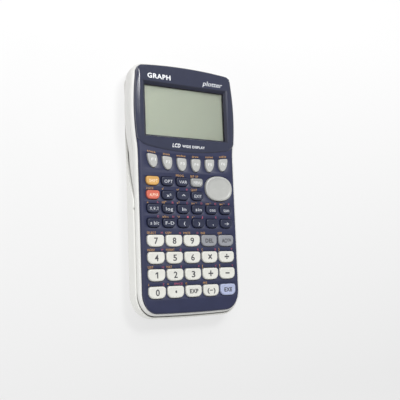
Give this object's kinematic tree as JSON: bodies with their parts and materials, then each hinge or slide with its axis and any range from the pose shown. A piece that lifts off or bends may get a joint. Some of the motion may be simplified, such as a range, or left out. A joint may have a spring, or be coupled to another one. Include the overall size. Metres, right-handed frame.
{
  "type": "graphing calculator",
  "caption": "Handheld graphing calculator with a recessed display, shaped keys and an oval cursor pad, and its slide-on hard cover stored on the back.",
  "frame": {"origin": "middle of the footprint, on the surface that the stored cover rests on", "axes": "+X to the right as the keys are read, +Y towards the display end, +Z out of the keyboard"},
  "size_m": [0.0874, 0.1806, 0.0213],
  "materials": {
    "case_white": "satin moulded ABS",
    "cover_white": "satin moulded ABS",
    "panel_navy": "fine satin",
    "bezel_navy": "high gloss",
    "window_clear": "clear, polished",
    "liquid_crystal": "smooth film",
    "key_white": "satin",
    "key_navy": "satin",
    "key_grey": "satin",
    "key_silver": "satin pearl",
    "key_blue": "satin",
    "key_orange": "satin",
    "key_red": "satin",
    "mat_rubber": "moulded silicone",
    "board_green": "solder mask",
    "cell_steel": "printed steel can"
  },
  "bodies": {
    "housing": {"upper_case": "case_white", "rear_case": "case_white", "battery_cover": "case_white", "faceplate": "panel_navy", "display_bezel": "bezel_navy", "display_window": "window_clear", "lcd_module": "liquid_crystal", "key_membrane": "mat_rubber", "circuit_board": "board_green", "battery_pair_left": "cell_steel", "battery_pair_right": "cell_steel"},
    "key_f1": {"key_f1": "key_silver"},
    "key_f2": {"key_f2": "key_silver"},
    "key_f3": {"key_f3": "key_silver"},
    "key_f4": {"key_f4": "key_silver"},
    "key_f5": {"key_f5": "key_silver"},
    "key_f6": {"key_f6": "key_silver"},
    "key_shift": {"key_shift": "key_orange"},
    "key_option": {"key_option": "key_navy"},
    "key_variables": {"key_variables": "key_navy"},
    "key_menu": {"key_menu": "key_silver"},
    "key_alpha": {"key_alpha": "key_red"},
    "key_square": {"key_square": "key_navy"},
    "key_power": {"key_power": "key_navy"},
    "key_exit": {"key_exit": "key_navy"},
    "key_variable_x": {"key_variable_x": "key_navy"},
    "key_log": {"key_log": "key_navy"},
    "key_ln": {"key_ln": "key_navy"},
    "key_sin": {"key_sin": "key_navy"},
    "key_cos": {"key_cos": "key_navy"},
    "key_tan": {"key_tan": "key_navy"},
    "key_fraction": {"key_fraction": "key_navy"},
    "key_convert": {"key_convert": "key_navy"},
    "key_open_bracket": {"key_open_bracket": "key_navy"},
    "key_close_bracket": {"key_close_bracket": "key_navy"},
    "key_comma": {"key_comma": "key_navy"},
    "key_store": {"key_store": "key_navy"},
    "key_7": {"key_7": "key_white"},
    "key_8": {"key_8": "key_white"},
    "key_9": {"key_9": "key_white"},
    "key_delete": {"key_delete": "key_grey"},
    "key_all_clear": {"key_all_clear": "key_grey"},
    "key_4": {"key_4": "key_white"},
    "key_5": {"key_5": "key_white"},
    "key_6": {"key_6": "key_white"},
    "key_multiply": {"key_multiply": "key_white"},
    "key_divide": {"key_divide": "key_white"},
    "key_1": {"key_1": "key_white"},
    "key_2": {"key_2": "key_white"},
    "key_3": {"key_3": "key_white"},
    "key_plus": {"key_plus": "key_white"},
    "key_minus": {"key_minus": "key_white"},
    "key_0": {"key_0": "key_white"},
    "key_point": {"key_point": "key_white"},
    "key_exponent": {"key_exponent": "key_white"},
    "key_negate": {"key_negate": "key_white"},
    "key_execute": {"key_execute": "key_blue"},
    "cursor_pivot": {"cursor_pivot": "mat_rubber"},
    "cursor_pad": {"cursor_pad": "key_silver"},
    "slide_cover": {"slide_cover": "cover_white"}
  },
  "joints": [
    {"name": "key_f1_press", "type": "slide", "parent": "housing", "child": "key_f1", "axis": [0, 0, -1], "range_m": [0, 0.001], "stiffness_N_per_m": 150},
    {"name": "key_f2_press", "type": "slide", "parent": "housing", "child": "key_f2", "axis": [0, 0, -1], "range_m": [0, 0.001], "stiffness_N_per_m": 150},
    {"name": "key_f3_press", "type": "slide", "parent": "housing", "child": "key_f3", "axis": [0, 0, -1], "range_m": [0, 0.001], "stiffness_N_per_m": 150},
    {"name": "key_f4_press", "type": "slide", "parent": "housing", "child": "key_f4", "axis": [0, 0, -1], "range_m": [0, 0.001], "stiffness_N_per_m": 150},
    {"name": "key_f5_press", "type": "slide", "parent": "housing", "child": "key_f5", "axis": [0, 0, -1], "range_m": [0, 0.001], "stiffness_N_per_m": 150},
    {"name": "key_f6_press", "type": "slide", "parent": "housing", "child": "key_f6", "axis": [0, 0, -1], "range_m": [0, 0.001], "stiffness_N_per_m": 150},
    {"name": "key_shift_press", "type": "slide", "parent": "housing", "child": "key_shift", "axis": [0, 0, -1], "range_m": [0, 0.001], "stiffness_N_per_m": 150},
    {"name": "key_option_press", "type": "slide", "parent": "housing", "child": "key_option", "axis": [0, 0, -1], "range_m": [0, 0.001], "stiffness_N_per_m": 150},
    {"name": "key_variables_press", "type": "slide", "parent": "housing", "child": "key_variables", "axis": [0, 0, -1], "range_m": [0, 0.001], "stiffness_N_per_m": 150},
    {"name": "key_menu_press", "type": "slide", "parent": "housing", "child": "key_menu", "axis": [0, 0, -1], "range_m": [0, 0.001], "stiffness_N_per_m": 150},
    {"name": "key_alpha_press", "type": "slide", "parent": "housing", "child": "key_alpha", "axis": [0, 0, -1], "range_m": [0, 0.001], "stiffness_N_per_m": 150},
    {"name": "key_square_press", "type": "slide", "parent": "housing", "child": "key_square", "axis": [0, 0, -1], "range_m": [0, 0.001], "stiffness_N_per_m": 150},
    {"name": "key_power_press", "type": "slide", "parent": "housing", "child": "key_power", "axis": [0, 0, -1], "range_m": [0, 0.001], "stiffness_N_per_m": 150},
    {"name": "key_exit_press", "type": "slide", "parent": "housing", "child": "key_exit", "axis": [0, 0, -1], "range_m": [0, 0.001], "stiffness_N_per_m": 150},
    {"name": "key_variable_x_press", "type": "slide", "parent": "housing", "child": "key_variable_x", "axis": [0, 0, -1], "range_m": [0, 0.001], "stiffness_N_per_m": 150},
    {"name": "key_log_press", "type": "slide", "parent": "housing", "child": "key_log", "axis": [0, 0, -1], "range_m": [0, 0.001], "stiffness_N_per_m": 150},
    {"name": "key_ln_press", "type": "slide", "parent": "housing", "child": "key_ln", "axis": [0, 0, -1], "range_m": [0, 0.001], "stiffness_N_per_m": 150},
    {"name": "key_sin_press", "type": "slide", "parent": "housing", "child": "key_sin", "axis": [0, 0, -1], "range_m": [0, 0.001], "stiffness_N_per_m": 150},
    {"name": "key_cos_press", "type": "slide", "parent": "housing", "child": "key_cos", "axis": [0, 0, -1], "range_m": [0, 0.001], "stiffness_N_per_m": 150},
    {"name": "key_tan_press", "type": "slide", "parent": "housing", "child": "key_tan", "axis": [0, 0, -1], "range_m": [0, 0.001], "stiffness_N_per_m": 150},
    {"name": "key_fraction_press", "type": "slide", "parent": "housing", "child": "key_fraction", "axis": [0, 0, -1], "range_m": [0, 0.001], "stiffness_N_per_m": 150},
    {"name": "key_convert_press", "type": "slide", "parent": "housing", "child": "key_convert", "axis": [0, 0, -1], "range_m": [0, 0.001], "stiffness_N_per_m": 150},
    {"name": "key_open_bracket_press", "type": "slide", "parent": "housing", "child": "key_open_bracket", "axis": [0, 0, -1], "range_m": [0, 0.001], "stiffness_N_per_m": 150},
    {"name": "key_close_bracket_press", "type": "slide", "parent": "housing", "child": "key_close_bracket", "axis": [0, 0, -1], "range_m": [0, 0.001], "stiffness_N_per_m": 150},
    {"name": "key_comma_press", "type": "slide", "parent": "housing", "child": "key_comma", "axis": [0, 0, -1], "range_m": [0, 0.001], "stiffness_N_per_m": 150},
    {"name": "key_store_press", "type": "slide", "parent": "housing", "child": "key_store", "axis": [0, 0, -1], "range_m": [0, 0.001], "stiffness_N_per_m": 150},
    {"name": "key_7_press", "type": "slide", "parent": "housing", "child": "key_7", "axis": [0, 0, -1], "range_m": [0, 0.001], "stiffness_N_per_m": 150},
    {"name": "key_8_press", "type": "slide", "parent": "housing", "child": "key_8", "axis": [0, 0, -1], "range_m": [0, 0.001], "stiffness_N_per_m": 150},
    {"name": "key_9_press", "type": "slide", "parent": "housing", "child": "key_9", "axis": [0, 0, -1], "range_m": [0, 0.001], "stiffness_N_per_m": 150},
    {"name": "key_delete_press", "type": "slide", "parent": "housing", "child": "key_delete", "axis": [0, 0, -1], "range_m": [0, 0.001], "stiffness_N_per_m": 150},
    {"name": "key_all_clear_press", "type": "slide", "parent": "housing", "child": "key_all_clear", "axis": [0, 0, -1], "range_m": [0, 0.001], "stiffness_N_per_m": 150},
    {"name": "key_4_press", "type": "slide", "parent": "housing", "child": "key_4", "axis": [0, 0, -1], "range_m": [0, 0.001], "stiffness_N_per_m": 150},
    {"name": "key_5_press", "type": "slide", "parent": "housing", "child": "key_5", "axis": [0, 0, -1], "range_m": [0, 0.001], "stiffness_N_per_m": 150},
    {"name": "key_6_press", "type": "slide", "parent": "housing", "child": "key_6", "axis": [0, 0, -1], "range_m": [0, 0.001], "stiffness_N_per_m": 150},
    {"name": "key_multiply_press", "type": "slide", "parent": "housing", "child": "key_multiply", "axis": [0, 0, -1], "range_m": [0, 0.001], "stiffness_N_per_m": 150},
    {"name": "key_divide_press", "type": "slide", "parent": "housing", "child": "key_divide", "axis": [0, 0, -1], "range_m": [0, 0.001], "stiffness_N_per_m": 150},
    {"name": "key_1_press", "type": "slide", "parent": "housing", "child": "key_1", "axis": [0, 0, -1], "range_m": [0, 0.001], "stiffness_N_per_m": 150},
    {"name": "key_2_press", "type": "slide", "parent": "housing", "child": "key_2", "axis": [0, 0, -1], "range_m": [0, 0.001], "stiffness_N_per_m": 150},
    {"name": "key_3_press", "type": "slide", "parent": "housing", "child": "key_3", "axis": [0, 0, -1], "range_m": [0, 0.001], "stiffness_N_per_m": 150},
    {"name": "key_plus_press", "type": "slide", "parent": "housing", "child": "key_plus", "axis": [0, 0, -1], "range_m": [0, 0.001], "stiffness_N_per_m": 150},
    {"name": "key_minus_press", "type": "slide", "parent": "housing", "child": "key_minus", "axis": [0, 0, -1], "range_m": [0, 0.001], "stiffness_N_per_m": 150},
    {"name": "key_0_press", "type": "slide", "parent": "housing", "child": "key_0", "axis": [0, 0, -1], "range_m": [0, 0.001], "stiffness_N_per_m": 150},
    {"name": "key_point_press", "type": "slide", "parent": "housing", "child": "key_point", "axis": [0, 0, -1], "range_m": [0, 0.001], "stiffness_N_per_m": 150},
    {"name": "key_exponent_press", "type": "slide", "parent": "housing", "child": "key_exponent", "axis": [0, 0, -1], "range_m": [0, 0.001], "stiffness_N_per_m": 150},
    {"name": "key_negate_press", "type": "slide", "parent": "housing", "child": "key_negate", "axis": [0, 0, -1], "range_m": [0, 0.001], "stiffness_N_per_m": 150},
    {"name": "key_execute_press", "type": "slide", "parent": "housing", "child": "key_execute", "axis": [0, 0, -1], "range_m": [0, 0.001], "stiffness_N_per_m": 150},
    {"name": "cursor_rock_y", "type": "hinge", "parent": "housing", "child": "cursor_pivot", "pos_m": [0.0247, 0.001, 0.016], "axis": [1, 0, 0], "range_deg": [-3, 3], "stiffness_Nm_per_rad": 0.3},
    {"name": "cursor_rock_x", "type": "hinge", "parent": "cursor_pivot", "child": "cursor_pad", "pos_m": [0.0247, 0.001, 0.016], "axis": [0, 1, 0], "range_deg": [-3, 3], "stiffness_Nm_per_rad": 0.3},
    {"name": "slide_cover_off", "type": "slide", "parent": "housing", "child": "slide_cover", "axis": [0, -1, 0], "range_m": [0, 0.185]}
  ]
}
